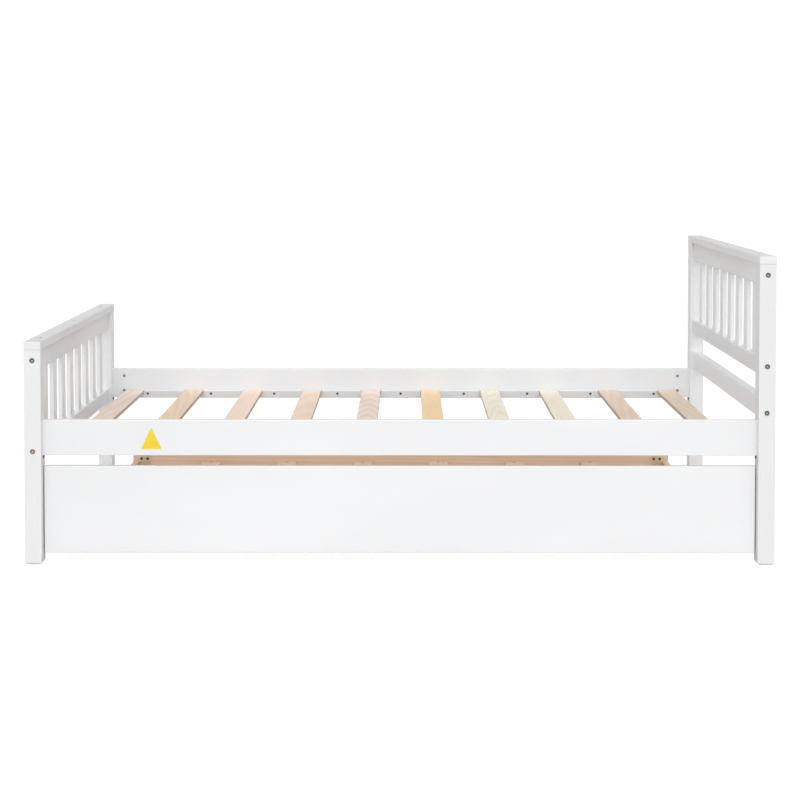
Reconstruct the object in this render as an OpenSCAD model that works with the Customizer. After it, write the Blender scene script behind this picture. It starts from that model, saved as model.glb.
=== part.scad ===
// Twin trundle bed: a slatted platform bed with a headboard, a footboard and a low bed on castors
// that rolls out from under its front side rail.
// Origin: on the floor, under the middle of the bed. X runs from foot (-) to head (+),
// Y from the trundle side (-) to the rear (+), Z up.

/* [Overall] */
// Length over the caps
bed_length = 2016; // [2000:1:2100]
// Depth over the caps
bed_depth = 1066; // [1050:1:1120]
// Height of the headboard
head_height = 832; // [800:1:900]
// Height of the footboard
foot_height = 602; // [590:1:680]

/* [Posts and caps] */
// Side of each square post
post_w = 45; // [42:1:55]
// Chamfer round the foot of each post
post_chamfer = 5; // [2:1:8]
// Thickness of the caps
cap_t = 22; // [15:1:25]
// Overhang of each cap past its posts
cap_over = 0.5; // [0:0.5:6]

/* [Edges] */
// Rounding of the painted boards' edges
edge_r = 2; // [1:0.5:4]
// Rounding of the upright slats' edges
slat_edge_r = 1.5; // [0.5:0.5:3]
// Rounding of the bare boards' edges
bare_edge_r = 1.5; // [0.5:0.25:2.5]

/* [Headboard and footboard] */
// Thickness of the rails between the posts
board_rail_t = 24; // [22:1:28]
// Height of the top rails and of the low rail of the headboard
tall_rail_h = 57; // [54:1:65]
// Height of the rails that hold the lower ends of the slats
short_rail_h = 45; // [42:1:50]
// Height of the low rail of the headboard above the floor
head_low_z = 392; // [390:1:430]
// Number of upright slats in each board
board_slats = 8; // [6:1:8]
// Width of an upright slat
board_slat_w = 43; // [35:1:50]
// Thickness of an upright slat
board_slat_t = 12; // [9:1:14]
// Distance from one upright slat to the next
board_slat_pitch = 112; // [90:1:113]
// Length of an upright slat that shows between its rails
board_slat_open = 200; // [180:5:210]
// Depth of each slat's pocket in a rail
pocket_depth = 10; // [6:1:12]

/* [Side rails and cleats] */
// Height of a side rail
side_rail_h = 96; // [90:1:110]
// Thickness of a side rail
side_rail_t = 19; // [19:1:25]
// Height of a side rail's lower edge above the floor
side_rail_z = 293; // [290:1:300]
// Distance of a side rail's outer face behind the outer face of its posts
side_rail_setback = 18; // [10:1:20]
// Height of a cleat
cleat_h = 24; // [22:1:30]
// Depth of a cleat
cleat_d = 25; // [22:1:30]
// Wood left behind each slat's notch in a cleat
cleat_web = 5; // [4:1:8]
// Half of a cleat's length
cleat_half = 904; // [900:1:912]

/* [Bed slats] */
// Number of bed slats
bed_slats = 10; // [10:2:10]
// Width of a bed slat
bed_slat_w = 62; // [55:1:70]
// Thickness of a bed slat
bed_slat_t = 12; // [10:1:14]
// Distance from one bed slat to the next
bed_slat_pitch = 196.5; // [195:0.5:197]

/* [Trundle] */
// Thickness of the front panel
panel_t = 16; // [15:1:18]
// Height of the front panel's lower edge above the floor
panel_z = 28; // [20:1:35]
// Height of the front panel
panel_h = 236; // [200:1:245]
// Distance of the front panel behind the outer face of the posts
panel_setback = 20; // [18:1:24]
// Gap between the front panel and each post
panel_gap = 3.5; // [3:0.5:6]
// Half of the length of the trundle's box
box_half = 885; // [880:1:900]
// Distance from the bed's middle to the inner face of the box's rear rail
box_rear_y = 445; // [420:1:450]
// Thickness of the boards of the box
box_t = 18; // [16:1:20]
// Height of the box's lower edge above the floor
box_z = 30; // [28:1:35]
// Height of the tops of the box's front and rear rails above the floor
box_rail_top = 116; // [112:1:125]
// Height of the tops of the trundle's slats above the floor
deck_z = 87; // [86:1:90]
// Side of the trundle's square cleats
box_cleat = 18; // [16:1:20]
// Half of the length of the trundle's cleats
box_cleat_half = 820; // [780:1:822]
// Number of trundle slats
trundle_slat_count = 6; // [6:2:6]
// Distance from one trundle slat to the next
trundle_slat_pitch = 250; // [230:5:250]

/* [Castors] */
// Radius of a castor wheel
wheel_r = 25; // [20:1:25]
// Width of a castor wheel
wheel_w = 20; // [16:1:20]
// Gap between a rear castor's plate and the end board beside it
castor_gap = 1; // [0.5:0.5:3]
// Distance from the bed's middle to the front castors' axles, across the bed
front_castor_y = 390; // [370:1:400]
// Radius of an axle
axle_r = 3; // [2.5:0.5:4]
// Thickness of a castor's sheet metal
sheet_t = 2; // [1.5:0.5:2.5]

/* [Fasteners] */
// Length of a bolt with its head
bolt_len = 90; // [88:1:92]
// Radius of a bolt
bolt_r = 3; // [2.5:0.5:3]
// Radius of a bolt's head
bolt_head_r = 6.5; // [5.5:0.5:7]
// Height of a bolt's head
bolt_head_h = 5; // [4:0.5:6]
// Radius of a barrel nut
nut_r = 5; // [4.5:0.5:6]
// Length of a barrel nut
nut_len = 14; // [12:1:14]
// Distance from a rail's end to its barrel nuts
nut_inset = 39.5; // [38:0.5:41]
// Radius of a dowel
dowel_r = 4; // [3:0.5:4]
// Length of a dowel
dowel_len = 40; // [30:1:40]
// Radius of a wood screw
screw_r = 2; // [1.5:0.25:2.25]
// Radius of a wood screw's head
screw_head_r = 4; // [3:0.5:4.5]

/* [Hidden] */
$fn = 48;
FOOT = -1;
HEAD = 1;
FRONT = -1;
REAR = 1;
ENDS = [FOOT, HEAD];
SIDES = [FRONT, REAR];

// Play round what fits in a hole: tight, running and clearance
tight = 0.05;
running = 0.05;
clearance = 0.5;
// How far a cutter runs past the face that it cuts
past = 1;

// Posts
post_x = bed_length / 2 - cap_over - post_w / 2;
post_y = bed_depth / 2 - cap_over - post_w / 2;
post_face_x = post_x + post_w / 2;
post_face_y = post_y + post_w / 2;
clear_x = post_x - post_w / 2;
clear_y = post_y - post_w / 2;

// Rails of the boards, each as [lower edge, height, bolt height, dowel heights, pocket side],
// where the pocket side is 1 for pockets in the top, -1 for pockets underneath and 0 for none
dowel_step = 17.5;
function rail_top(rail) = rail[0] + rail[1];
function top_rail(height) =
    let (z = height - cap_t - tall_rail_h, mid = z + tall_rail_h / 2)
    [z, tall_rail_h, mid, [mid - dowel_step, mid + dowel_step], -1];
function short_rail(z) = [z, short_rail_h, z + 28, [z + 11], 1];
head_top = top_rail(head_height);
head_mid = short_rail(head_top[0] - board_slat_open - short_rail_h);
head_low = [head_low_z, tall_rail_h, head_low_z + 19, [head_low_z + 40], 0];
foot_top = top_rail(foot_height);
foot_low = short_rail(foot_top[0] - board_slat_open - short_rail_h);
head_rails = [head_top, head_mid, head_low];
foot_rails = [foot_top, foot_low];
function board_rails(end) = end == HEAD ? head_rails : foot_rails;
function board_height(end) = end == HEAD ? head_height : foot_height;
cap_screw_y = 430;
function board_slat_y(i) = (i - (board_slats + 1) / 2) * board_slat_pitch;

// Side rails, cleats and bed slats
side_y = post_face_y - side_rail_setback - side_rail_t / 2;
side_inner_y = side_y - side_rail_t / 2;
side_bolt_z = [side_rail_z + 23, side_rail_z + 72];
side_dowel_z = side_rail_z + 47;
cleat_z = side_rail_z + 2;
cleat_top = cleat_z + cleat_h;
cleat_inner_y = side_inner_y - cleat_d;
cleat_screw_pitch = 210;
cleat_screw_reach = 4 * cleat_screw_pitch;
cleat_screw_z = cleat_z + 14;
bed_slat_len = 2 * (side_inner_y - cleat_web - past);
function bed_slat_x(i) = (i - (bed_slats + 1) / 2) * bed_slat_pitch;
stop_screw_z = side_rail_z - 5;

// Trundle
panel_y = -post_face_y + panel_setback;
panel_half = clear_x - panel_gap;
box_front_y = panel_y + panel_t;
box_inner_front_y = box_front_y + box_t;
box_mid_y = (box_inner_front_y + box_rear_y) / 2;
box_inner_d = box_rear_y - box_inner_front_y;
box_rail_h = box_rail_top - box_z;
box_cleat_z = deck_z - bed_slat_t - box_cleat;
panel_screw_z = 98;
panel_screw_pitch = 400;
panel_screw_reach = 2 * panel_screw_pitch;
corner_screw_z = [box_z + 15, box_z + 42];
box_cleat_screw_pitch = 250;
box_cleat_screw_reach = 3 * box_cleat_screw_pitch;
function trundle_slat_x(i) = (i - (trundle_slat_count + 1) / 2) * trundle_slat_pitch;
function box_inner_y(side) = side == REAR ? box_rear_y : box_inner_front_y;

// Castors
box_inner_x = box_half - box_t;
axle_out = wheel_r + sheet_t + 3;
cheek_gap = wheel_w + 2;
cheek_r = 11;
rivet_r = 5;
rivet_h = 1.5;
rivet_recess = cheek_gap + 2 * sheet_t + 2 * (rivet_h + clearance);
plate_w = 38;
plate_screw_dx = 10;
rear_plate_z = 30;
rear_plate_top = 109;
rear_plate_screw_z = 97;
front_plate_top = 78;
front_plate_screw_z = 68;
front_castor_x = box_inner_x - sheet_t - cheek_gap / 2;
rear_castor_x = box_inner_x - castor_gap - plate_w / 2;
function axle_at(end, side) = side == REAR
    ? [end * rear_castor_x, box_rear_y - axle_out, wheel_r]
    : [end * front_castor_x, -front_castor_y, wheel_r];

// Lengths of the wood screws
cap_screw_len = 45;
cleat_screw_len = 38;
stop_screw_len = 16;
panel_screw_len = 30;
corner_screw_len = 45;
box_cleat_screw_len = 30;
slat_screw_len = 25;
plate_screw_len = 16;

board_slat_names = [for (end = ["head", "foot"], i = [1:board_slats]) str(end, "_slat_", i)];
bed_slat_names = [for (i = [1:bed_slats]) str("bed_slat_", i)];
wheel_names = [for (side = ["front", "rear"], end = ["foot", "head"]) str("wheel_", side, "_", end)];

// ---- Fasteners: each points down from the face it enters, which is at its origin ----

// Button of a bolt with a hexagon socket, on its shank
module hex_bolt() {
    socket_r = 3;
    socket_h = 3;
    color("dimgray")
    difference() {
        union() {
            translate([0, 0, -bolt_head_h]) cylinder(r = bolt_head_r, h = bolt_head_h);
            translate([0, 0, -bolt_len]) cylinder(r = bolt_r, h = bolt_len - bolt_head_h);
        }
        translate([0, 0, -socket_h]) cylinder(r = socket_r, h = socket_h + past, $fn = 6);
    }
}

module bolt_hole() {
    translate([0, 0, -bolt_head_h]) cylinder(r = bolt_head_r + clearance, h = bolt_head_h + past);
    translate([0, 0, -bolt_len - 3]) cylinder(r = bolt_r + clearance, h = bolt_len);
}

// Barrel nut along Z with its cross bore along X and its slot at the top
module barrel_nut() {
    slot_w = 1.5;
    slot_h = 2;
    color("silver")
    difference() {
        cylinder(r = nut_r, h = nut_len, center = true);
        rotate([0, 90, 0]) cylinder(r = bolt_r + tight, h = 3 * nut_r, center = true);
        translate([0, 0, nut_len / 2]) cube([3 * nut_r, slot_w, 2 * slot_h], center = true);
    }
}

module nut_hole() {
    translate([0, 0, -nut_len / 2 - clearance]) cylinder(r = nut_r + tight, h = 3 * nut_len);
}

module dowel() {
    color("tan") cylinder(r = dowel_r, h = dowel_len, center = true);
}

module dowel_hole() {
    cylinder(r = dowel_r + tight, h = dowel_len + past, center = true);
}

module cross_recess() {
    for (turn = [0, 90]) rotate([0, 0, turn]) cube([0.7 * 2 * screw_head_r, 1, 3], center = true);
}

// Wood screw whose countersunk head lies flush
module flat_screw(len) {
    head_h = screw_head_r - screw_r;
    color("gray")
    difference() {
        union() {
            translate([0, 0, -head_h]) cylinder(r1 = screw_r, r2 = screw_head_r, h = head_h);
            translate([0, 0, -len]) cylinder(r = screw_r, h = len - head_h);
        }
        cross_recess();
    }
}

module flat_screw_hole(len) {
    head_h = screw_head_r - screw_r;
    wide = screw_head_r + tight;
    translate([0, 0, -head_h]) cylinder(r1 = screw_r + tight, r2 = wide, h = head_h);
    translate([0, 0, -len - past]) cylinder(r = screw_r + tight, h = len + past - head_h);
    cylinder(r = wide, h = past);
}

// Wood screw whose round head stands proud of the face
module pan_screw(len) {
    head_h = 2.5;
    color("gray")
    difference() {
        union() {
            cylinder(r = screw_head_r, h = head_h);
            translate([0, 0, -len]) cylinder(r = screw_r, h = len);
        }
        translate([0, 0, head_h]) cross_recess();
    }
}

module pan_screw_hole(len) {
    translate([0, 0, -len - past]) cylinder(r = screw_r + tight, h = len + 2 * past);
}

// ---- Places: each puts its children at every place of one kind of fastener ----

module at_frame_bolts(end, rails) {
    for (side = SIDES, rail = rails)
        translate([end * post_x, side * post_face_y, rail[2]]) rotate([-90 * side, 0, 0]) children();
}

module at_frame_nuts(end, rails) {
    for (side = SIDES, rail = rails)
        translate([end * post_x, side * (clear_y - nut_inset), rail[2]])
        rotate([0, 90 * end, 0]) rotate([0, 0, 90]) children();
}

module at_frame_dowels(end, rails) {
    for (side = SIDES, rail = rails, z = rail[3])
        translate([end * post_x, side * clear_y, z]) rotate([90, 0, 0]) children();
}

module at_side_bolts(side) {
    for (end = ENDS, z = side_bolt_z)
        translate([end * post_face_x, side * side_y, z]) rotate([0, 90 * end, 0]) children();
}

module at_side_nuts(side) {
    for (end = ENDS, z = side_bolt_z)
        translate([end * (clear_x - nut_inset), side * side_y, z]) rotate([90 * side, 0, 0]) children();
}

module at_side_dowels(side) {
    for (end = ENDS)
        translate([end * clear_x, side * side_y, side_dowel_z]) rotate([0, 90, 0]) children();
}

module at_cap_screws(end) {
    for (y = [-cap_screw_y, 0, cap_screw_y]) translate([end * post_x, y, board_height(end)]) children();
}

module at_cleat_screws(side) {
    for (x = [-cleat_screw_reach:cleat_screw_pitch:cleat_screw_reach])
        translate([x, side * cleat_inner_y, cleat_screw_z]) rotate([90 * side, 0, 0]) children();
}

// Round-headed screws in the posts, right under the ends of the side rails
module at_stop_screws() {
    for (end = ENDS, side = SIDES)
        translate([end * clear_x, side * side_y, stop_screw_z]) rotate([0, -90 * end, 0]) children();
}

module at_panel_screws() {
    for (x = [-panel_screw_reach:panel_screw_pitch:panel_screw_reach])
        translate([x, box_inner_front_y, panel_screw_z]) rotate([-90, 0, 0]) children();
}

module at_corner_screws() {
    for (end = ENDS, side = SIDES, z = corner_screw_z)
        translate([end * (box_half - box_t / 2), box_inner_y(side) + side * box_t, z])
        rotate([-90 * side, 0, 0]) children();
}

module at_box_cleat_screws(side) {
    for (x = [-box_cleat_screw_reach:box_cleat_screw_pitch:box_cleat_screw_reach])
        translate([x, box_inner_y(side) - side * box_cleat, box_cleat_z + box_cleat / 2])
        rotate([90 * side, 0, 0]) children();
}

module at_trundle_slat_screws() {
    for (i = [1:trundle_slat_count], side = SIDES)
        translate([trundle_slat_x(i), box_inner_y(side) - side * box_cleat / 2, deck_z]) children();
}

module at_axle(end, side) {
    translate(axle_at(end, side)) rotate([0, 90, 0]) children();
}

// Rear castors are screwed to the rear rail: the origin is on its inner face, which faces -Y
module at_rear_castor(end) {
    translate([end * rear_castor_x, box_rear_y, 0]) children();
}

module at_rear_plate_screws() {
    for (end = ENDS, x = [-plate_screw_dx, plate_screw_dx])
        at_rear_castor(end) translate([x, -sheet_t, rear_plate_screw_z]) rotate([90, 0, 0]) children();
}

// Front castors are screwed to the end boards: the origin is on the inner face, which faces +X
module at_front_castor(end) {
    translate([end * box_inner_x, -front_castor_y, 0]) rotate([0, 0, end == HEAD ? 180 : 0]) children();
}

module at_front_plate_screws(end) {
    for (y = [-plate_screw_dx, plate_screw_dx])
        at_front_castor(end) translate([sheet_t, y, front_plate_screw_z]) rotate([0, 90, 0]) children();
}

// ---- Boards ----

X = 0;
Y = 1;
Z = 2;

module rounded_outline(size, r) {
    union() {
        square([size[0] - 2 * r, size[1]], center = true);
        square([size[0], size[1] - 2 * r], center = true);
        for (x = [-1, 1], y = [-1, 1])
            translate([x * (size[0] / 2 - r), y * (size[1] / 2 - r)]) circle(r = r);
    }
}

// Board round the origin whose edges along one axis are rounded
module board(size, along, r = edge_r) {
    turn = along == X ? [90, 0, 90] : along == Y ? [90, 0, 0] : [0, 0, 0];
    outline = along == X ? [size[Y], size[Z]] : along == Y ? [size[X], size[Z]] : [size[X], size[Y]];
    rotate(turn) linear_extrude(size[along], center = true) rounded_outline(outline, r);
}

// Board round the origin whose edges are all rounded
module eased_board(size, r = edge_r) {
    intersection_for(along = [X, Y, Z]) board(size, along, r);
}

// ---- Headboard and footboard ----

module post(end, side) {
    height = board_height(end) - cap_t;
    half = post_w / 2;
    low = half - post_chamfer;
    outline = [
        [-low, 0], [low, 0], [half, post_chamfer],
        [half, height], [-half, height], [-half, post_chamfer]
    ];
    color("white")
    difference() {
        translate([end * post_x, side * post_y, 0])
        intersection() {
            rotate([90, 0, 0]) linear_extrude(post_w, center = true) polygon(outline);
            rotate([90, 0, 90]) linear_extrude(post_w, center = true) polygon(outline);
            translate([0, 0, height / 2]) board([post_w, post_w, height], Z);
        }
        at_frame_bolts(end, board_rails(end)) bolt_hole();
        at_frame_dowels(end, board_rails(end)) dowel_hole();
        at_side_bolts(side) bolt_hole();
        at_side_dowels(side) dowel_hole();
        at_stop_screws() pan_screw_hole(stop_screw_len);
    }
}

module cap(end) {
    size = [post_w + 2 * cap_over, bed_depth, cap_t];
    color("white")
    difference() {
        translate([end * post_x, 0, board_height(end) - cap_t / 2]) eased_board(size);
        at_cap_screws(end) flat_screw_hole(cap_screw_len);
    }
}

module board_rail(end, rail) {
    size = [board_rail_t, 2 * clear_y, rail[1]];
    pocket = [board_slat_t + 2 * tight, board_slat_w + 2 * tight, 2 * (pocket_depth + clearance)];
    pocket_z = rail[4] > 0 ? rail_top(rail) : rail[0];
    color("white")
    difference() {
        translate([end * post_x, 0, rail[0] + rail[1] / 2]) board(size, Y);
        if (rail[4] != 0)
            for (i = [1:board_slats])
                translate([end * post_x, board_slat_y(i), pocket_z]) cube(pocket, center = true);
        at_frame_bolts(end, [rail]) bolt_hole();
        at_frame_nuts(end, [rail]) nut_hole();
        at_frame_dowels(end, [rail]) dowel_hole();
        if (rail[4] < 0) at_cap_screws(end) flat_screw_hole(cap_screw_len);
    }
}

module board_slat(end, i) {
    size = [board_slat_t, board_slat_w, board_slat_open + 2 * pocket_depth];
    mid_z = (end == HEAD ? head_top[0] : foot_top[0]) - board_slat_open / 2;
    color("white") translate([end * post_x, board_slat_y(i), mid_z]) board(size, Z, slat_edge_r);
}

// ---- Side rails and the bed's deck ----

module side_rail(side) {
    size = [2 * clear_x, side_rail_t, side_rail_h];
    color("white")
    difference() {
        translate([0, side * side_y, side_rail_z + side_rail_h / 2]) board(size, X);
        at_side_bolts(side) bolt_hole();
        at_side_nuts(side) nut_hole();
        at_side_dowels(side) dowel_hole();
        at_cleat_screws(side) flat_screw_hole(cleat_screw_len);
    }
}

module cleat(side) {
    size = [2 * cleat_half, cleat_d, cleat_h];
    notch = [bed_slat_w + 2, 2 * (cleat_d - cleat_web), 2 * bed_slat_t];
    color("ivory")
    difference() {
        translate([0, side * (cleat_inner_y + cleat_d / 2), cleat_z + cleat_h / 2])
        board(size, X);
        for (i = [1:bed_slats])
            translate([bed_slat_x(i), side * cleat_inner_y, cleat_top]) cube(notch, center = true);
        at_cleat_screws(side) flat_screw_hole(cleat_screw_len);
    }
}

module bed_slat(i) {
    size = [bed_slat_w, bed_slat_len, bed_slat_t];
    color("burlywood")
    translate([bed_slat_x(i), 0, cleat_top - bed_slat_t / 2])
    board(size, Y, bare_edge_r);
}

// ---- Hardware of the bed ----

module frame_bolts() {
    for (end = ENDS) at_frame_bolts(end, board_rails(end)) hex_bolt();
}

module side_rail_bolts() {
    for (side = SIDES) at_side_bolts(side) hex_bolt();
}

module barrel_nuts() {
    for (end = ENDS) at_frame_nuts(end, board_rails(end)) barrel_nut();
    for (side = SIDES) at_side_nuts(side) barrel_nut();
}

module dowels() {
    for (end = ENDS) at_frame_dowels(end, board_rails(end)) dowel();
    for (side = SIDES) at_side_dowels(side) dowel();
}

module bed_screws() {
    for (end = ENDS) at_cap_screws(end) flat_screw(cap_screw_len);
    for (side = SIDES) at_cleat_screws(side) flat_screw(cleat_screw_len);
    at_stop_screws() pan_screw(stop_screw_len);
}

// ---- Trundle ----

module trundle_panel() {
    size = [2 * panel_half, panel_t, panel_h];
    color("white")
    difference() {
        translate([0, panel_y + panel_t / 2, panel_z + panel_h / 2]) eased_board(size);
        at_panel_screws() flat_screw_hole(panel_screw_len);
    }
}

module trundle_rail(side) {
    size = [2 * box_half, box_t, box_rail_h];
    color("burlywood")
    difference() {
        translate([0, box_inner_y(side) + side * box_t / 2, box_z + box_rail_h / 2])
        board(size, X, bare_edge_r);
        at_corner_screws() flat_screw_hole(corner_screw_len);
        at_box_cleat_screws(side) flat_screw_hole(box_cleat_screw_len);
        if (side == FRONT) at_panel_screws() flat_screw_hole(panel_screw_len);
        if (side == REAR) at_rear_plate_screws() pan_screw_hole(plate_screw_len);
    }
}

module trundle_end(end) {
    size = [box_t, box_inner_d, deck_z - box_z];
    color("burlywood")
    difference() {
        translate([end * (box_half - box_t / 2), box_mid_y, (box_z + deck_z) / 2])
        board(size, Y, bare_edge_r);
        at_corner_screws() flat_screw_hole(corner_screw_len);
        at_front_plate_screws(end) pan_screw_hole(plate_screw_len);
        at_axle(end, FRONT) cylinder(r = rivet_r + clearance, h = rivet_recess, center = true);
    }
}

module trundle_cleats() {
    color("burlywood")
    for (side = SIDES)
        difference() {
            translate([0, box_inner_y(side) - side * box_cleat / 2, box_cleat_z + box_cleat / 2])
            board([2 * box_cleat_half, box_cleat, box_cleat], X, bare_edge_r);
            at_box_cleat_screws(side) flat_screw_hole(box_cleat_screw_len);
            at_trundle_slat_screws() flat_screw_hole(slat_screw_len);
        }
}

module trundle_slats() {
    size = [bed_slat_w, box_inner_d - 2, bed_slat_t];
    color("burlywood")
    difference() {
        for (i = [1:trundle_slat_count])
            translate([trundle_slat_x(i), box_mid_y, deck_z - bed_slat_t / 2]) board(size, Y, bare_edge_r);
        at_trundle_slat_screws() flat_screw_hole(slat_screw_len);
    }
}

// Upright plate with two cheeks that reach forward and hold the axle
module rear_castor_bracket(end) {
    slope = cheek_r * cos(45);
    low = wheel_r - cheek_r;
    top_depth = 6;
    high = low + 48;
    outline = [
        [0, low], [axle_out, low], [axle_out + slope, wheel_r + slope],
        [top_depth, high], [0, high]
    ];
    at_rear_castor(end)
    rotate([0, 0, 180])
    union() {
        translate([-plate_w / 2, 0, rear_plate_z]) cube([plate_w, sheet_t, rear_plate_top - rear_plate_z]);
        for (cheek = [-1, 1])
            translate([cheek * (cheek_gap + sheet_t) / 2, 0, 0])
            rotate([90, 0, 90])
            linear_extrude(sheet_t, center = true)
            union() {
                polygon(outline);
                translate([axle_out, wheel_r]) circle(r = cheek_r);
            }
    }
}

// Upside-down U over the wheel, whose outer cheek is the plate
module front_castor_bracket(end) {
    half = plate_w / 2;
    roof_z = 2 * wheel_r + 2;
    inner_x = sheet_t + cheek_gap;
    at_front_castor(end)
    union() {
        translate([0, 0, wheel_r]) cheek_plate(half, front_plate_top - wheel_r);
        translate([inner_x, 0, wheel_r]) cheek_plate(half, roof_z + sheet_t - wheel_r);
        translate([0, -half, roof_z]) cube([inner_x + sheet_t, plate_w, sheet_t]);
    }
}

// Sheet round an axle at the origin that widens upwards to a straight top
module cheek_plate(half, top) {
    slope = cheek_r * cos(45);
    outline = [[-slope, -slope], [slope, -slope], [half, 0], [half, top], [-half, top], [-half, 0]];
    rotate([90, 0, 90])
    linear_extrude(sheet_t)
    union() {
        polygon(outline);
        circle(r = cheek_r);
    }
}

module castor_brackets() {
    color("silver")
    difference() {
        for (end = ENDS) {
            rear_castor_bracket(end);
            front_castor_bracket(end);
        }
        for (end = ENDS, side = SIDES)
            at_axle(end, side) cylinder(r = axle_r + tight, h = 2 * plate_w, center = true);
        for (end = ENDS) at_front_plate_screws(end) pan_screw_hole(plate_screw_len);
        at_rear_plate_screws() pan_screw_hole(plate_screw_len);
    }
}

// Rivet with a head outside each cheek
module castor_axle(end, side) {
    span = cheek_gap + 2 * sheet_t;
    color("silver")
    at_axle(end, side)
    union() {
        cylinder(r = axle_r, h = span, center = true);
        for (cheek = [-1, 1])
            translate([0, 0, cheek * (span + rivet_h) / 2])
            cylinder(r = rivet_r, h = rivet_h, center = true);
    }
}

module castor_axles() {
    for (end = ENDS, side = SIDES) castor_axle(end, side);
}

// Wheel with a rounded tread and a recess round its hub on both faces
module castor_wheel(end, side) {
    half = wheel_w / 2;
    hub_r = axle_r + 4;
    rim_r = wheel_r - 6;
    crown = 2;
    recess = 4;
    bore_r = axle_r + running;
    outline = [
        [bore_r, -half], [hub_r, -half], [hub_r, recess - half], [rim_r, recess - half],
        [rim_r, -half], [wheel_r - crown, -half], [wheel_r, crown - half],
        [wheel_r, half - crown], [wheel_r - crown, half], [rim_r, half],
        [rim_r, half - recess], [hub_r, half - recess], [hub_r, half], [bore_r, half]
    ];
    color("dimgray") at_axle(end, side) rotate_extrude() polygon(outline);
}

module trundle_screws() {
    at_panel_screws() flat_screw(panel_screw_len);
    at_corner_screws() flat_screw(corner_screw_len);
    for (side = SIDES) at_box_cleat_screws(side) flat_screw(box_cleat_screw_len);
    at_trundle_slat_screws() flat_screw(slat_screw_len);
    for (end = ENDS) at_front_plate_screws(end) pan_screw(plate_screw_len);
    at_rear_plate_screws() pan_screw(plate_screw_len);
}

post(FOOT, FRONT);  // post_foot_front
post(FOOT, REAR);  // post_foot_rear
post(HEAD, FRONT);  // post_head_front
post(HEAD, REAR);  // post_head_rear
cap(FOOT);  // cap_foot
cap(HEAD);  // cap_head
board_rail(HEAD, head_top);  // head_top_rail
board_rail(HEAD, head_mid);  // head_mid_rail
board_rail(HEAD, head_low);  // head_low_rail
board_rail(FOOT, foot_top);  // foot_top_rail
board_rail(FOOT, foot_low);  // foot_low_rail
for (i = [1:board_slats]) board_slat(HEAD, i);
for (i = [1:board_slats]) board_slat(FOOT, i);
side_rail(FRONT);  // side_rail_front
side_rail(REAR);  // side_rail_rear
cleat(FRONT);  // cleat_front
cleat(REAR);  // cleat_rear
for (i = [1:bed_slats]) bed_slat(i);
frame_bolts();
side_rail_bolts();
barrel_nuts();
dowels();
bed_screws();
trundle_panel();
trundle_rail(FRONT);  // trundle_front_rail
trundle_rail(REAR);  // trundle_rear_rail
trundle_end(FOOT);  // trundle_end_foot
trundle_end(HEAD);  // trundle_end_head
trundle_cleats();
trundle_slats();
castor_brackets();
castor_axles();
trundle_screws();
castor_wheel(FOOT, FRONT);  // wheel_front_foot
castor_wheel(HEAD, FRONT);  // wheel_front_head
castor_wheel(FOOT, REAR);  // wheel_rear_foot
castor_wheel(HEAD, REAR);  // wheel_rear_head
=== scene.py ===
import math

import bmesh
import bpy
from mathutils import Matrix, Vector


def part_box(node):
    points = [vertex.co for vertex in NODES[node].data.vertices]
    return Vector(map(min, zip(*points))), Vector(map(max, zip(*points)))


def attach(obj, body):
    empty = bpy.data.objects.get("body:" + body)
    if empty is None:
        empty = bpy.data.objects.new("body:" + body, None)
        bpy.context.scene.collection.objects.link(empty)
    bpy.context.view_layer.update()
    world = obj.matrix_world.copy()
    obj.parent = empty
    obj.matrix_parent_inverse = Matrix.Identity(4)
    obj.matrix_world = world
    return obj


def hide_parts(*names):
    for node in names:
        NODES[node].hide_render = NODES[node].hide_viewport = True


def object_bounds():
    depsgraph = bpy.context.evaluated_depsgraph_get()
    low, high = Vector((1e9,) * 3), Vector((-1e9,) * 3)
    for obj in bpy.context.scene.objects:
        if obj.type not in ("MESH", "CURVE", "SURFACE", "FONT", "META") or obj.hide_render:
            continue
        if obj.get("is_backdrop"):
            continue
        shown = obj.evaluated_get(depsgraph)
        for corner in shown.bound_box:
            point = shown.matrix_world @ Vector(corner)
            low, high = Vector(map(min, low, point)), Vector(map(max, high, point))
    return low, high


# A white-painted bed with a low trundle on castors, shown in a white studio.
# The boards, screws and barrel nuts are the CAD nodes with wood, paint and metal on them.
# Bolts, wheels, rivets and the sticker are built here around them.

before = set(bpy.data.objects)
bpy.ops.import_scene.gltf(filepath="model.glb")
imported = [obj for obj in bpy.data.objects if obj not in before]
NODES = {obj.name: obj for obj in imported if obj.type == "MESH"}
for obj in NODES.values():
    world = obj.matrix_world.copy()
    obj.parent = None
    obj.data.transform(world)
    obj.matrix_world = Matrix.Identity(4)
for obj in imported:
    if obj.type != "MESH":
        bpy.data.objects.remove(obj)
cad_low, cad_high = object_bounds()

MM = 0.001
X, Y, Z = range(3)
ENDS = ("foot", "head")
SIDES = ("front", "rear")


# ---- Node trees ----

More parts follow.
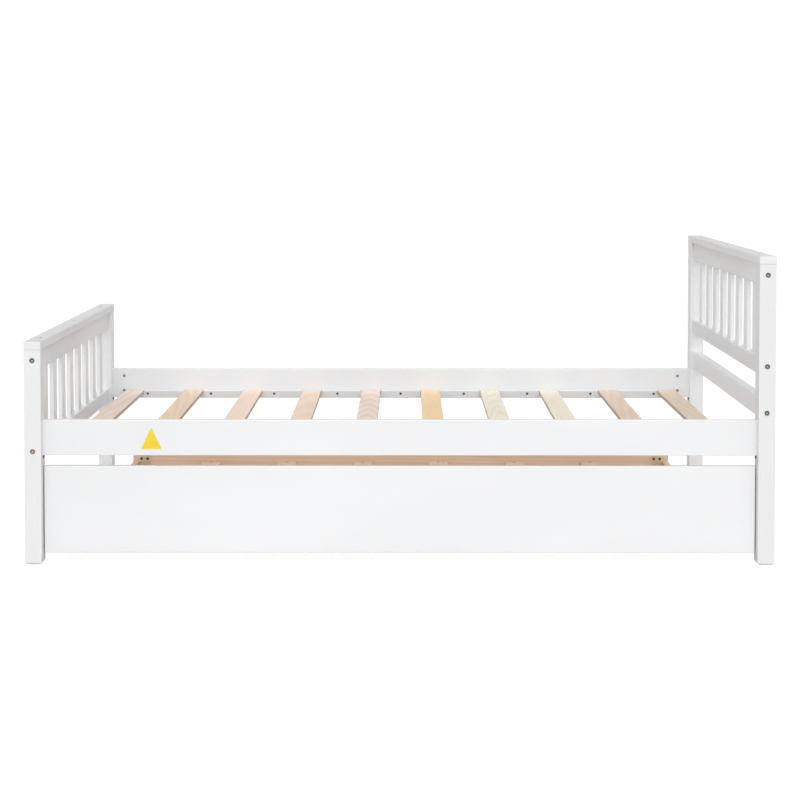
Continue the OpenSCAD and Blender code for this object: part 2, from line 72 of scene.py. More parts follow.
class Finish:
    """A material with one Principled shader, and short calls that add nodes to it."""

    def __init__(self, name, **values):
        self.material = bpy.data.materials.new(name)
        self.material.use_nodes = True
        self.tree = self.material.node_tree
        self.tree.nodes.clear()
        self.shader = self.tree.nodes.new("ShaderNodeBsdfPrincipled")
        output = self.tree.nodes.new("ShaderNodeOutputMaterial")
        self.tree.links.new(self.shader.outputs["BSDF"], output.inputs["Surface"])
        for socket, value in values.items():
            self.shader.inputs[socket.replace("_", " ")].default_value = value

    def add(self, kind, inputs=(), **settings):
        """Adds a node, sets it up, and links or fills its inputs, given as pairs or by order."""
        node = self.tree.nodes.new("ShaderNode" + kind)
        for name, value in settings.items():
            setattr(node, name, value)
        pairs = inputs.items() if isinstance(inputs, dict) else enumerate(inputs)
        for key, value in pairs:
            self.put(node.inputs[key], value)
        return node

    def put(self, socket, value):
        if isinstance(value, bpy.types.NodeSocket):
            self.tree.links.new(value, socket)
        elif value is not None:
            socket.default_value = value

    def math(self, operation, *values):
        return self.add("Math", values, operation=operation).outputs[0]

    def noise(self, vector, scale, detail=2.0, roughness=0.5, distortion=0.0):
        inputs = {
            "Vector": vector, "Scale": scale, "Detail": detail,
            "Roughness": roughness, "Distortion": distortion,
        }
        return self.add("TexNoise", inputs).outputs["Fac"]

    def remap(self, value, low, high, new_low, new_high):
        """value from low..high to new_low..new_high, held at the ends."""
        return self.add("MapRange", (value, low, high, new_low, new_high)).outputs["Result"]

    def mix(self, factor, first, second):
        node = self.add("Mix", data_type="RGBA", blend_type="MIX")
        self.put(node.inputs["Factor"], factor)
        for key, colour in (("A", first), ("B", second)):
            socket = [s for s in node.inputs if s.name == key and s.type == "RGBA"][0]
            self.put(socket, colour)
        return [s for s in node.outputs if s.type == "RGBA"][0]

    def stretched(self, along, ratio, shift=(0.0, 0.0, 0.0)):
        """Object coordinates squeezed along one axis, so that a pattern runs along it."""
        place = self.add("TexCoord").outputs["Object"]
        scale = [1.0, 1.0, 1.0]
        scale[along] = 1.0 / ratio
        inputs = {"Vector": place, "Location": shift, "Scale": scale}
        return self.add("Mapping", inputs).outputs["Vector"]

    def edge(self, radius):
        """1 on edges and 0 on flat faces, from how much rounding turns the surface."""
        turned = self.add("Bevel", {"Radius": radius}, samples=4).outputs["Normal"]
        flat = self.add("NewGeometry").outputs["Normal"]
        same = self.add("VectorMath", (turned, flat), operation="DOT_PRODUCT").outputs["Value"]
        return self.remap(same, 1.0, 0.82, 0.0, 1.0)

    def bump(self, height, distance, strength=1.0, normal=None):
        inputs = {"Height": height, "Distance": distance, "Strength": strength, "Normal": normal}
        return self.add("Bump", inputs).outputs["Normal"]


def rgb(red, green, blue):
    return (red, green, blue, 1.0)


# ---- Paint and wood ----

# How much light the paint returns: its clouds, its grain lines and its thinner edges
PAINT_LIGHT = 0.82
PAINT_DARK = 0.785
PAINT_GRAIN = 0.75
PAINT_WORN = 0.77


def paint(name, along, shade):
    """Satin lacquer over a primer on pine: faint grain and brush marks along one axis, thinner edges.
    """
    f = Finish(name, Roughness=0.4, IOR=1.45, Coat_Weight=0.08, Coat_Roughness=0.2)
    grain = f.noise(f.stretched(along, 14.0), 230.0, 4.0, 0.6, 0.3)
    rings = f.noise(f.stretched(along, 30.0, (3.1, 1.7, 0.4)), 60.0, 1.0, 0.4, 0.8)
    clouds = f.noise(f.stretched(along, 2.0), 3.5, 2.0)
    peel = f.noise(f.add("TexCoord").outputs["Object"], 700.0, 1.0)
    light = rgb(*(PAINT_LIGHT * part for part in shade))
    dark = rgb(*(PAINT_DARK * part for part in shade))
    colour = f.mix(f.remap(clouds, 0.35, 0.65, 0.0, 1.0), light, dark)
    lines = rgb(*(PAINT_GRAIN * part for part in shade))
    colour = f.mix(f.remap(grain, 0.55, 0.8, 0.0, 0.25), colour, lines)
    worn = f.math("MULTIPLY", f.edge(2.0 * MM), f.remap(rings, 0.45, 0.75, 0.0, 0.5))
    colour = f.mix(worn, colour, rgb(*(PAINT_WORN * part for part in shade)))
    f.put(f.shader.inputs["Base Color"], colour)
    f.put(f.shader.inputs["Roughness"], f.remap(clouds, 0.3, 0.7, 0.36, 0.46))
    normal = f.bump(peel, 0.02 * MM, 0.5)
    normal = f.bump(grain, 0.06 * MM, 0.6, normal)
    f.put(f.shader.inputs["Normal"], f.bump(rings, 0.1 * MM, 0.5, normal))
    return f.material


# Late wood against the pale early wood of the same year
LATE_WOOD = (0.80, 0.66, 0.50)
# Painted shade on the faces that look across a board
SIDE_SHADE = (0.30, 0.26, 0.22)


class Pith:
    """Middle of the log: its way across and its depth in metres, its slope, and the rings in mm."""

    def __init__(self, across=0.0, deep=-0.09, slope=0.0, ring=5.0, wander=4.0, seed=0.0):
        self.across = across
        self.deep = deep
        self.slope = slope
        self.ring = ring
        self.wander = wander
        self.seed = seed


def pine(name, along, centre, pith, light, contrast, side_shade=0.0):
    """Bare pine with growth rings round a pith line near the board's centre, and painted shade on its
    side faces.
    """
    dark = [part * share for part, share in zip(light, LATE_WOOD)]
    f = Finish(name, Roughness=0.6, IOR=1.45)
    across = Y if along == X else X
    place = f.add("TexCoord").outputs["Object"]
    parts = f.add("SeparateXYZ", (place,)).outputs
    length = f.math("SUBTRACT", parts[along], centre[along])
    sideways = f.math("SUBTRACT", parts[across], centre[across] + pith.across)
    depth = f.math("SUBTRACT", parts[Z], centre[Z] + pith.deep)
    depth = f.math("ADD", depth, f.math("MULTIPLY", length, pith.slope))
    swept = f.stretched(along, 7.0, (pith.seed, 2.0 * pith.seed, 0.5 * pith.seed))
    wander = f.math("MULTIPLY", f.noise(swept, 22.0, 1.5), pith.wander * MM)
    squares = (f.math("MULTIPLY", sideways, sideways), f.math("MULTIPLY", depth, depth))
    radius = f.math("ADD", f.math("SQRT", f.math("ADD", *squares)), wander)
    year = f.math("DIVIDE", radius, pith.ring * MM)
    late = f.add("ValToRGB", (f.math("FRACT", year),))
    shape_of_a_year(late.color_ramp)
    fibre = f.noise(f.stretched(along, 45.0), 1500.0, 2.0, 0.7)
    streak = f.noise(f.stretched(along, 18.0, (pith.seed, 0.0, 0.0)), 140.0, 3.0)
    clouds = f.noise(f.stretched(along, 5.0, (0.0, pith.seed, 0.0)), 14.0, 2.0)

    colour = f.mix(f.math("MULTIPLY", late.outputs["Color"], contrast), rgb(*light), rgb(*dark))
    colour = f.mix(f.remap(clouds, 0.35, 0.7, 0.0, 0.2), colour, rgb(*dark))
    colour = f.mix(f.remap(streak, 0.5, 0.75, 0.0, 0.15), colour, rgb(*dark))
    fleck = f.remap(fibre, 0.6, 0.85, 0.0, 0.3)
    colour = f.mix(fleck, colour, rgb(*(0.72 * part for part in dark)))
    facing = f.add("SeparateXYZ", (f.add("TexCoord").outputs["Normal"],)).outputs
    end_grain = f.remap(f.math("ABSOLUTE", facing[along]), 0.6, 0.9, 0.0, 0.45)
    colour = f.mix(end_grain, colour, rgb(*(0.6 * part for part in dark)))
    # Painted shade: faces that look across the board are darkened towards a dark brown.
    side = f.remap(f.math("ABSOLUTE", facing[across]), 0.75, 0.95, 0.0, side_shade)
    colour = f.mix(side, colour, rgb(*SIDE_SHADE))
    # Painted highlight: edges mixed a quarter of the way back to the pale tone.
    colour = f.mix(f.math("MULTIPLY", f.edge(1.2 * MM), 0.25), colour, rgb(*light))
    f.put(f.shader.inputs["Base Color"], colour)
    f.put(f.shader.inputs["Roughness"], f.remap(fibre, 0.3, 0.7, 0.5, 0.68))
    normal = f.bump(fibre, 0.05 * MM, 0.6)
    f.put(f.shader.inputs["Normal"], f.bump(late.outputs["Color"], 0.04 * MM, 0.6, normal))
    return f.material


def shape_of_a_year(ramp):
    """Pale early wood, a slow rise to dark late wood, and a sharp fall back."""
    ramp.elements[0].position = 0.35
    ramp.elements[0].color = rgb(0.0, 0.0, 0.0)
    ramp.elements[1].position = 0.93
    ramp.elements[1].color = rgb(1.0, 1.0, 1.0)
    ramp.elements.new(0.99).color = rgb(0.1, 0.1, 0.1)


# ---- Metal, plastic and film ----

def plated(name, base, spot, rough, metal=1.0):
    """Plated steel: drifting tone, tiny stains, fine scratches and a painted highlight on its edges."""
    f = Finish(name, Metallic=metal, Roughness=rough)
    place = f.add("TexCoord").outputs["Object"]
    drift = f.noise(place, 90.0, 2.0)
    stains = f.noise(place, 900.0, 3.0, 0.6)
    scratches = f.noise(f.stretched(X, 25.0), 2500.0, 1.0)
    colour = f.mix(f.remap(drift, 0.35, 0.65, 0.0, 1.0), rgb(*base), rgb(*spot))
    colour = f.mix(f.remap(stains, 0.6, 0.8, 0.0, 0.35), colour, rgb(*(0.4 * part for part in base)))
    # Painted highlight: edges lightened halfway towards a brighter copy of the metal.
    rim_highlight = [min(1.0, 1.5 * part + 0.08) for part in spot]
    colour = f.mix(f.math("MULTIPLY", f.edge(0.5 * MM), 0.5), colour, rgb(*rim_highlight))
    f.put(f.shader.inputs["Base Color"], colour)
    f.put(f.shader.inputs["Roughness"], f.remap(stains, 0.3, 0.7, rough - 0.08, rough + 0.1))
    f.put(f.shader.inputs["Normal"], f.bump(scratches, 0.02 * MM, 0.5))
    return f.material


def nylon(name, shade):
    """Moulded nylon with a fine texture, patches of dust and scuffed edges."""
    f = Finish(name, Roughness=0.5, IOR=1.53)
    place = f.add("TexCoord").outputs["Object"]
    texture = f.noise(place, 1800.0, 2.0)
    dust = f.noise(place, 120.0, 3.0)
    pale = rgb(*(2.4 * part + 0.03 for part in shade))
    colour = f.mix(f.remap(dust, 0.5, 0.75, 0.0, 0.35), rgb(*shade), pale)
    colour = f.mix(f.math("MULTIPLY", f.edge(0.8 * MM), 0.4), colour, pale)
    f.put(f.shader.inputs["Base Color"], colour)
    f.put(f.shader.inputs["Roughness"], f.remap(dust, 0.3, 0.7, 0.42, 0.6))
    f.put(f.shader.inputs["Normal"], f.bump(texture, 0.03 * MM, 0.6))
    return f.material


def film(name, shade):
    """Printed vinyl film: even ink with a slight mottle and a soft gloss."""
    f = Finish(name, Roughness=0.35, Coat_Weight=0.4, Coat_Roughness=0.15)
    place = f.add("TexCoord").outputs["Object"]
    mottle = f.noise(place, 260.0, 2.0)
    dull = rgb(*(0.88 * part for part in shade))
    colour = f.mix(f.remap(mottle, 0.4, 0.7, 0.0, 0.6), rgb(*shade), dull)
    f.put(f.shader.inputs["Base Color"], colour)
    f.put(f.shader.inputs["Roughness"], f.remap(mottle, 0.3, 0.7, 0.3, 0.42))
    f.put(f.shader.inputs["Normal"], f.bump(f.noise(place, 45.0, 1.0), 0.08 * MM, 0.5))
    return f.material


def wear(name, material):
    """Puts a material on a CAD node in place of its own."""
    slots = NODES[name].material_slots
    if not slots:
        NODES[name].data.materials.append(material)
    for slot in NODES[name].material_slots:
        slot.material = material


def middle(name):
    low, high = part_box(name)
    return (low + high) / 2


WHITE = (0.985, 0.99, 1.0)
paint_x = paint("paint_along_x", X, WHITE)
paint_y = paint("paint_along_y", Y, WHITE)
# The cleats get a darker, greyer copy of the white paint.
grey_cleat_paint = paint("paint_cleats_grey", X, (0.91, 0.915, 0.92))
# Lit and shaded copies of the one white paint, as painted light and shade: the head's low rail, the
# rear posts, the upright slats and the rear rail get lighter, cooler copies that stand in for light
# they lack inside the bed; the front posts and the caps get darker copies, a painted shade.
lit_low_rail_paint = paint("paint_head_low_rail_lit", Y, (1.08, 1.10, 1.13))
shaded_front_post_paint = paint("paint_front_posts", Z, (0.935, 0.937, 0.94))
lit_rear_post_paint = paint("paint_rear_posts", Z, (1.03, 1.04, 1.05))
lit_slat_paint = paint("paint_slats", Z, (1.03, 1.045, 1.06))
shaded_cap_paint = paint("paint_caps", Y, (0.95, 0.952, 0.957))
lit_rear_rail_paint = paint("paint_rear_rail", X, (1.01, 1.035, 1.06))

# Which boards wear which copy of the paint, the lit and shaded copies included.
PAINTED = {
    shaded_front_post_paint: ("post_foot_front", "post_head_front"),
    lit_rear_post_paint: ("post_foot_rear", "post_head_rear"),
    lit_slat_paint: ("head_slat_", "foot_slat_"),
    shaded_cap_paint: ("cap_",),
    paint_y: ("head_top", "head_mid", "foot_top", "foot_low"),
    lit_low_rail_paint: ("head_low",),
    lit_rear_rail_paint: ("side_rail_rear",),
    paint_x: ("side_rail_front", "trundle_panel"),
    grey_cleat_paint: ("cleat_",),
}
for material, starts in PAINTED.items():
    for node_name in NODES:
        if node_name.startswith(starts):
            wear(node_name, material)

# Bed slats from the foot: tone, its brightness, pith and ring contrast of each
ROSE = (0.88, 0.72, 0.61)
PALE_ROSE = (0.88, 0.742, 0.675)
SAND = (0.88, 0.76, 0.62)
HONEY = (0.87, 0.70, 0.55)
GOLD = (0.90, 0.68, 0.43)
CREAM = (0.89, 0.84, 0.73)
BED_SLATS = [
    (PALE_ROSE, 0.955, Pith(0.02, -0.11, 0.02, 6.0, 5.0, 0.3), 0.3),
    (HONEY, 0.94, Pith(-0.03, -0.08, 0.03, 7.0, 6.0, 1.1), 0.3),
    (ROSE, 1.04, Pith(0.05, -0.12, 0.0, 5.0, 4.0, 2.7), 0.25),
    (ROSE, 1.00, Pith(0.01, -0.15, 0.04, 8.0, 6.0, 3.2), 0.25),
    (PALE_ROSE, 0.98, Pith(0.0, -0.045, 0.09, 9.0, 5.0, 4.4), 0.5),
    (GOLD, 1.00, Pith(-0.06, -0.05, 0.01, 4.0, 3.0, 5.9), 0.25),
    (CREAM, 1.00, Pith(0.01, -0.06, 0.05, 6.0, 7.0, 6.1), 0.35),
    (CREAM, 0.98, Pith(-0.07, -0.07, 0.0, 5.0, 4.0, 7.5), 0.25),
    (ROSE, 0.90, Pith(0.03, -0.10, 0.03, 7.0, 5.0, 8.8), 0.3),
    (SAND, 0.915, Pith(-0.02, -0.09, 0.02, 6.0, 6.0, 9.6), 0.3),
]
for number, (tone, bright, pith, contrast) in enumerate(BED_SLATS, start=1):
    node_name = f"bed_slat_{number}"
    light = [bright * part for part in tone]
    wear(node_name, pine(node_name, Y, middle(node_name), pith, light, contrast, side_shade=0.5))

TRUNDLE_TONE = (0.82, 0.63, 0.51)
TRUNDLE_WOOD = {
    "trundle_front_rail": (X, Pith(0.05, -0.07, 0.004, 6.0, 6.0, 0.9)),
    "trundle_rear_rail": (X, Pith(0.06, -0.03, 0.01, 7.0, 7.0, 1.9)),
    "trundle_end_foot": (Y, Pith(0.07, -0.02, 0.01, 6.0, 5.0, 2.2)),
    "trundle_end_head": (Y, Pith(-0.07, -0.02, 0.01, 6.0, 5.0, 3.6)),
    "trundle_cleats": (X, Pith(0.09, -0.05, 0.0, 5.0, 4.0, 4.1)),
    "trundle_slats": (Y, Pith(0.11, -0.09, 0.02, 6.0, 6.0, 5.3)),
}
for node_name, (along, pith) in TRUNDLE_WOOD.items():
    wear(node_name, pine(node_name, along, middle(node_name), pith, TRUNDLE_TONE, 0.4))

beech = pine("beech", Y, Vector(), Pith(0.0, -0.3, 0.0, 3.0, 2.0, 7.0), (0.74, 0.55, 0.38), 0.2)
dark_steel = plated("dark_steel", (0.12, 0.12, 0.12), (0.17, 0.165, 0.16), 0.42)
bronze = plated("bronzed_steel", (0.30, 0.17, 0.10), (0.40, 0.23, 0.14), 0.38)
# The copper and socket finishes are lighter than the heads they sit in: a painted highlight in the
# bolts' sockets.
lit_copper_socket = plated("coppered_socket_lit", (0.72, 0.40, 0.24), (0.80, 0.47, 0.30), 0.32)
blackened = plated("blackened_steel", (0.045, 0.04, 0.04), (0.07, 0.065, 0.06), 0.45, 0.7)
dull_zinc = plated("dull_zinc", (0.26, 0.26, 0.255), (0.34, 0.34, 0.33), 0.42)
zinc = plated("zinc_plate", (0.62, 0.62, 0.60), (0.72, 0.71, 0.66), 0.34)
lit_socket_steel = plated("lit_socket_steel", (0.36, 0.36, 0.35), (0.48, 0.47, 0.45), 0.40)
brassy = plated("yellow_zinc", (0.74, 0.62, 0.40), (0.80, 0.69, 0.48), 0.40)
black_nylon = nylon("castor_nylon", (0.035, 0.035, 0.037))
yellow_film = film("yellow_film", (0.86, 0.62, 0.02))

wear("dowels", beech)
wear("barrel_nuts", dull_zinc)
wear("bed_screws", blackened)
wear("trundle_screws", blackened)
wear("castor_brackets", brassy)

# ---- Eased edges on small CAD hardware: the node's own mesh stays as packed ----

EASING = {"barrel_nuts": 0.4, "castor_brackets": 0.45, "bed_screws": 0.25, "trundle_screws": 0.25}
for node_name, width in EASING.items():
    weld = NODES[node_name].modifiers.new("weld", "WELD")
    weld.merge_threshold = 0.001 * MM
    bevel = NODES[node_name].modifiers.new("ease", "BEVEL")
    bevel.width = width * MM
    bevel.segments = 2
    bevel.limit_method = "ANGLE"
    bevel.angle_limit = math.radians(40)
    bevel.harden_normals = True


# ---- Places read from the frame ----

def solids_of(node_name):
    """Boxes (lowest corner, highest corner) of the separate solids in a CAD node."""
    mesh = bmesh.new()
    mesh.from_mesh(NODES[node_name].data)
    bmesh.ops.remove_doubles(mesh, verts=mesh.verts, dist=0.001 * MM)
    seen = set()
    boxes = []
    for start in mesh.verts:
        if start in seen:
            continue
        seen.add(start)
        found = [start]
        for vert in found:
            for edge in vert.link_edges:
                other = edge.other_vert(vert)
                if other not in seen:
                    seen.add(other)
                    found.append(other)
        low, high = [Vector(pick(v.co[i] for v in found) for i in range(3)) for pick in (min, max)]
        boxes.append((low, high))
    mesh.free()
    return boxes


def corner_name(place):
    """foot_front, foot_rear, head_front or head_rear, from the signs of a place."""
    return f"{'head' if place.x > 0 else 'foot'}_{'rear' if place.y > 0 else 'front'}"


# ---- Mesh building ----

def turned_rings(mesh, profile, segments=48):
    """Rings round Z from (radius, height, corners) triples; corners is 0 for a round ring."""
    rings = []
    for radius, height, corners in profile:
        ring = []
        for i in range(segments):
            angle = math.tau * i / segments
            reach = radius
            if corners:
                part = math.tau / corners
                reach = radius * math.cos(part / 2) / math.cos(angle % part - part / 2)
            ring.append(mesh.verts.new((reach * math.cos(angle), reach * math.sin(angle), height)))
        rings.append(ring)
    for low, high in zip(rings, rings[1:]):
        for i in range(segments):
            j = (i + 1) % segments
            mesh.faces.new((low[i], low[j], high[j], high[i]))
    return rings


def turned(profile):
    """A bmesh turned round Z. The profile runs from the bottom to the top, and flat ends close it."""
    mesh = bmesh.new()
    rings = turned_rings(mesh, profile)
    mesh.faces.new(list(reversed(rings[0])))
    mesh.faces.new(rings[-1])
    return mesh


def piece(name, mesh, materials, body, place=Matrix(), sharp_deg=35):
    """Makes an object from a bmesh, with smooth faces between sharp edges, riding on a body."""
    data = bpy.data.meshes.new(name)
    bmesh.ops.recalc_face_normals(mesh, faces=mesh.faces)
    mesh.to_mesh(data)
    mesh.free()
    data.shade_smooth()
    data.set_sharp_from_angle(angle=math.radians(sharp_deg))
    data.transform(place)
    for material in materials:
        data.materials.append(material)
    obj = bpy.data.objects.new(name, data)
    bpy.context.scene.collection.objects.link(obj)
    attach(obj, body)
    return obj


def pointing(place, direction):
    """Matrix that moves the origin to place and turns +Z to direction."""
    turn = Vector((0, 0, 1)).rotation_difference(Vector(direction))
    return Matrix.Translation(place) @ turn.to_matrix().to_4x4()


def rounded(radius_in, radius_out, height, steps=5):
    """Quarter-round rim of a turned part, from its side at radius_out to its top at height."""
    size = radius_out - radius_in
    angles = [math.pi / 2 * i / steps for i in range(steps + 1)]
    return [(radius_in + size * math.cos(a), height - size + size * math.sin(a), 0) for a in angles]


# ---- Connector bolts with a hexagon socket ----

def bolt_mesh(head_r, head_h, shank_r, length):
    """Bolt with its head's face at z = 0: chamfered tip, threads near the tip, and a hexagon socket."""
    thread_len = 28 * MM
    pitch = 1.0 * MM
    tip = -length
    profile = [(0.5 * shank_r, tip, 0), (shank_r - 0.5 * MM, tip + 0.6 * MM, 0)]
    turns = int(thread_len / pitch)
    for i in range(turns):
        start = tip + 0.8 * MM + i * pitch
        profile += [(shank_r - 0.45 * MM, start, 0), (shank_r, start + 0.5 * pitch, 0)]
    neck = tip + 0.8 * MM + turns * pitch
    profile += [(shank_r - 0.2 * MM, neck, 0), (shank_r - 0.2 * MM, -head_h, 0)]
    profile += [(head_r - 0.4 * MM, -head_h, 0), (head_r, -head_h + 0.4 * MM, 0)]
    profile += rounded(head_r - 0.9 * MM, head_r, 0.0)
    socket = 3.05 * MM
    profile += [
        (4.3 * MM, -0.05 * MM, 0), (3.9 * MM, -0.25 * MM, 0), (socket + 0.1 * MM, -0.35 * MM, 6),
        (socket, -0.6 * MM, 6), (socket, -2.9 * MM, 6), (0.8 * MM, -3.4 * MM, 0),
    ]
    mesh = turned(profile)
    # The socket's faces take the second, lighter finish: a painted highlight inside a recess that sits
    # in shade.
    for face in mesh.faces:
        middle_at = face.calc_center_median()
        if middle_at.z > -head_h and middle_at.xy.length < 3.3 * MM:
            face.material_index = 1
    return mesh


HEAD_R = 6.5 * MM
HEAD_H = 5.0 * MM
SHANK_R = 3.0 * MM


def place_bolts(node_name, axis, finish_of):
    """One detailed bolt for each CAD bolt, its head outwards along an axis."""
    boxes = solids_of(node_name)
    count = {}
    for low, high in sorted(boxes, key=lambda box: (-box[0].z, box[0].y)):
        centre = (low + high) / 2
        corner = corner_name(centre)
        count[corner] = count.get(corner, 0) + 1
        outward = Vector()
        outward[axis] = math.copysign(1.0, centre[axis])
        face = centre.copy()
        face[axis] = high[axis] if centre[axis] > 0 else low[axis]
        mesh = bolt_mesh(HEAD_R, HEAD_H, SHANK_R, high[axis] - low[axis])
        name = f"{node_name[:-1]}_{corner}_{count[corner]}"
        place = pointing(face, outward)
        bolt = piece(name, mesh, finish_of(centre), "bed", place)
        if len(count) == 1 and count[corner] == 1:
            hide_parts(node_name)


def frame_bolt_finish(centre):
    """Head and socket: coppered for the footboard's lower bolts, and dark for the rest, each socket
    lighter than its head as a painted highlight.
    """
    low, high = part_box("foot_low_rail")
    coppered = centre.x < 0 and low.z < centre.z < high.z
    return (bronze, lit_copper_socket) if coppered else (dark_steel, lit_socket_steel)


place_bolts("frame_bolts", Y, frame_bolt_finish)
place_bolts("side_rail_bolts", X, lambda centre: (dark_steel, lit_socket_steel))


# ---- Castors ----

RIBS = 6


def wheel_mesh(radius, width):
    """Wheel round Z with a rounded tread, a parting line, a hub and six ribs in each face."""
    half = width / 2
    hub_r = 7 * MM
    bore_r = 3.05 * MM
    rim_r = radius - 6 * MM
    recess = half - 4 * MM
    outer = rounded(radius - 2 * MM, radius, half)
    side = [(bore_r, 0.0, 0), (bore_r, half, 0)]
    side += [(hub_r - 0.5 * MM, half, 0), (hub_r, half - 0.5 * MM, 0)]
    side += [(hub_r + 0.6 * MM, recess, 0), (rim_r - 0.6 * MM, recess, 0), (rim_r, half - 0.5 * MM, 0)]
    side += [(rim_r + 0.5 * MM, half, 0)] + list(reversed(outer))
    side += [(radius, 0.4 * MM, 0), (radius - 0.25 * MM, 0.0, 0)]
    other = [(r, -h, c) for r, h, c in reversed(side[:-1])]
    mesh = bmesh.new()
    turned_rings(mesh, side + other, 60)
    bmesh.ops.remove_doubles(mesh, verts=mesh.verts, dist=0.001 * MM)
    for face in (-1, 1):
        for i in range(RIBS):
            rib(mesh, math.tau * i / RIBS, hub_r - 0.3 * MM, rim_r + 0.3 * MM, face * recess, face)
    return mesh


def rib(mesh, angle, inner, outer, floor, face):
    """Tapered rib that stands on a wheel's recessed face."""
    foot = 1.3 * MM
    crest = 0.8 * MM
    rise = 2.6 * MM * face
    turn = Matrix.Rotation(angle, 4, "Z")
    corners = []
    for half, height in ((foot, floor - 0.2 * MM * face), (crest, floor + rise)):
        for x, y in ((inner, -half), (outer, -half), (outer, half), (inner, half)):
            corners.append(mesh.verts.new(turn @ Vector((x, y, height))))
    low, high = corners[:4], corners[4:]
    mesh.faces.new(low)
    mesh.faces.new(high)
    for i in range(4):
        j = (i + 1) % 4
        mesh.faces.new((low[i], low[j], high[j], high[i]))


def rivet_mesh(span, radius, head_r, head_h):
    """Axle rivet along Z with domed heads."""
    dome = [(head_r * math.cos(a), span / 2 + head_h * math.sin(a), 0)
            for a in (math.radians(d) for d in (0, 20, 40, 60, 80))]
    top = [(radius, 0.0, 0), (radius, span / 2, 0), (head_r, span / 2, 0)] + dome[1:]
    bottom = [(r, -h, c) for r, h, c in reversed(top[1:])]
    return turned(bottom + top)


ALONG_X = Matrix.Rotation(math.pi / 2, 4, "Y")
first_axle = True
for side_name in SIDES:
    for end_name in ENDS:
        node_name = f"wheel_{side_name}_{end_name}"
        low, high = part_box(node_name)
        centre = (low + high) / 2
        place = Matrix.Translation(centre) @ ALONG_X
        mesh = wheel_mesh((high.z - low.z) / 2, high.x - low.x)
        body = f"castor_{side_name}_{end_name}"
        wheel_name = f"castor_wheel_{side_name}_{end_name}"
        wheel = piece(wheel_name, mesh, [black_nylon], body, place)
        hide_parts(node_name)
        cheeks = high.x - low.x + 6 * MM
        mesh = rivet_mesh(cheeks, 3 * MM, 5 * MM, 1.5 * MM)
        axle = piece(f"castor_rivet_{side_name}_{end_name}", mesh, [zinc], "trundle", place)
        if first_axle:
            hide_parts("castor_axles")
            first_axle = False


# ---- Sticker on the front side rail ----

def sticker_mesh(width, height, corner_r, thickness):
    """Triangle with rounded corners in the XZ plane that faces -Y, with its base centred at z = 0."""
    slant = math.atan2(2 * height, width)
    inset = corner_r / math.tan(slant / 2)
    apex = height - corner_r / math.cos(slant)
    low_turn = math.degrees(slant) + 90
    corners = [
        ((width / 2 - inset, corner_r), -90, 90 - math.degrees(slant)),
        ((0, apex), 90 - math.degrees(slant), 90 + math.degrees(slant)),
        ((inset - width / 2, corner_r), low_turn, 270),
    ]
    steps = 10
    outline = []
    for (x, z), start, end in corners:
        for step in range(steps + 1):
            angle = math.radians(start + (end - start) * step / steps)
            outline.append(Vector((x + corner_r * math.cos(angle), 0, z + corner_r * math.sin(angle))))
    middle_at = Vector((0, 0, height / 3))
    mesh = bmesh.new()
    rings = []
    for share, lift in ((1.0, 0.0), (1.0, 0.7), (0.985, 1.0)):
        out = Vector((0, lift * thickness, 0))
        rings.append([mesh.verts.new(middle_at.lerp(p, share) - out) for p in outline])
    for inner, outer in zip(rings, rings[1:]):
        for i in range(len(outline)):
            j = (i + 1) % len(outline)
            mesh.faces.new((inner[i], inner[j], outer[j], outer[i]))
    mesh.faces.new(rings[-1])
    mesh.faces.new(list(reversed(rings[0])))
    return mesh


rail_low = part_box("side_rail_front")[0]
STICKER_FROM_POST = 293.5 * MM
STICKER_ABOVE_EDGE = 17.5 * MM
sticker_place = Vector((rail_low.x + STICKER_FROM_POST, rail_low.y, rail_low.z + STICKER_ABOVE_EDGE))
sticker = sticker_mesh(56 * MM, 59 * MM, 2 * MM, 0.25 * MM)
piece("sticker", sticker, [yellow_film], "bed", Matrix.Translation(sticker_place))


# ---- Studio ----

def studio_floor(name, albedo, glow, height):
    """Wide matt floor with a faint drift of tone, which also glows a little."""
    f = Finish(name, Roughness=0.9)
    place = f.add("TexCoord").outputs["Object"]
    soft = f.remap(f.noise(place, 1.5, 2.0), 0.3, 0.7, 0.0, 1.0)
    tones = [rgb(*([albedo * share] * 3)) for share in (0.93, 1.07)]
    f.put(f.shader.inputs["Base Color"], f.mix(soft, *tones))
    f.shader.inputs["Specular IOR Level"].default_value = 0.0
    f.shader.inputs["Emission Color"].default_value = rgb(1.0, 1.0, 1.0)
    f.shader.inputs["Emission Strength"].default_value = glow
    mesh = bmesh.new()
    bmesh.ops.create_circle(mesh, cap_ends=True, segments=96, radius=FLOOR_R)
    data = bpy.data.meshes.new(name)
    mesh.to_mesh(data)
    mesh.free()
    data.materials.append(f.material)
    floor = bpy.data.objects.new(name, data)
    floor.location = (0.0, 0.0, height)
    bpy.context.scene.collection.objects.link(floor)
    floor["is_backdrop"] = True
    return floor


def studio_floors():
    """A white floor that the camera sees, and a matt one just under it that bounces the light."""
    seen = studio_floor("floor", SEEN_ALBEDO, SEEN_GLOW, 0.0)
    seen.visible_diffuse = False
    seen.visible_glossy = False
    seen.visible_transmission = False
    seen.visible_shadow = False
    bounce = studio_floor("bounce_floor", BOUNCE_ALBEDO, BOUNCE_GLOW, -1.0 * MM)
    bounce.visible_camera = False


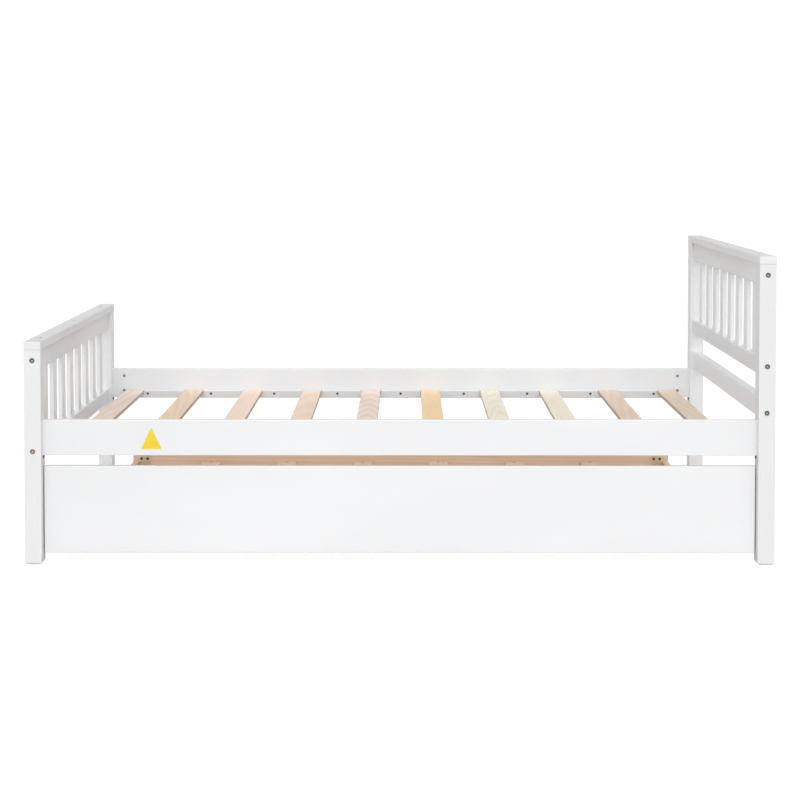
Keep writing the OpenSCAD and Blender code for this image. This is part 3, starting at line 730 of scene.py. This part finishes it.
def studio_world():
    """White walls at eye level that fade to a soft grey ceiling."""
    world = bpy.data.worlds.new("studio")
    bpy.context.scene.world = world
    world.use_nodes = True
    nodes = world.node_tree.nodes
    links = world.node_tree.links
    nodes.clear()
    way = nodes.new("ShaderNodeTexCoord")
    parts = nodes.new("ShaderNodeSeparateXYZ")
    height = nodes.new("ShaderNodeMapRange")
    background = nodes.new("ShaderNodeBackground")
    output = nodes.new("ShaderNodeOutputWorld")
    for socket, value in zip(height.inputs[1:5], (WALL_TOP, CEILING, WALL_LIGHT, CEILING_LIGHT)):
        socket.default_value = value
    links.new(way.outputs["Generated"], parts.inputs[0])
    links.new(parts.outputs["Z"], height.inputs[0])
    links.new(height.outputs[0], background.inputs["Strength"])
    links.new(background.outputs[0], output.inputs["Surface"])
    background.inputs["Color"].default_value = rgb(1.0, 1.0, 1.0)


def soft_sun(name, azimuth, elevation, strength, spread):
    """Very soft lamp from a direction, azimuth 0 being in front of the trundle's side."""
    data = bpy.data.lights.new(name, "SUN")
    data.energy = strength
    data.angle = math.radians(spread)
    lamp = bpy.data.objects.new(name, data)
    a, e = math.radians(azimuth), math.radians(elevation)
    back = Vector((math.sin(a) * math.cos(e), -math.cos(a) * math.cos(e), math.sin(e)))
    lamp.rotation_mode = "QUATERNION"
    lamp.rotation_quaternion = (-back).to_track_quat("-Z", "Y")
    lamp.visible_camera = False
    bpy.context.scene.collection.objects.link(lamp)


# Sines of the heights where the walls begin to fade and where the ceiling begins, and their light
WALL_TOP = 0.12
CEILING = 0.2
WALL_LIGHT = 1.02
CEILING_LIGHT = 0.15

# The floors' radius, and how much light the seen one and the bounce one return and give
FLOOR_R = 60.0
SEEN_ALBEDO = 0.13
SEEN_GLOW = 0.93
BOUNCE_ALBEDO = 0.65
BOUNCE_GLOW = 0.05

studio_floors()
studio_world()
soft_sun("top", 0, 82, 1.75, 80)
soft_sun("front", 0, 26, 1.25, 55)
soft_sun("fill_left", -72, 25, 0.56, 70)
soft_sun("fill_right", 72, 25, 0.56, 70)
bpy.context.scene.view_settings.view_transform = "Standard"
bpy.context.scene.view_settings.look = "None"

# ---- Camera, in front of the trundle's side and a little above it ----

CAMERA_DISTANCE = 4.187
CAMERA_HEIGHT = 1.1073
CAMERA_X = 0.0162
CAMERA_DOWN_DEG = 2.0
CAMERA_LEFT_DEG = 0.2
camera_data = bpy.data.cameras.new("camera")
camera_data.sensor_width = 36.0
camera_data.lens = 70.66
camera_data.shift_y = -0.24
camera_data.clip_end = 200.0
camera = bpy.data.objects.new("camera", camera_data)
camera.location = (CAMERA_X, cad_low.y - CAMERA_DISTANCE, CAMERA_HEIGHT)
camera.rotation_euler = (math.radians(90 - CAMERA_DOWN_DEG), 0.0, math.radians(CAMERA_LEFT_DEG))
bpy.context.scene.collection.objects.link(camera)
bpy.context.scene.camera = camera

low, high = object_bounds()
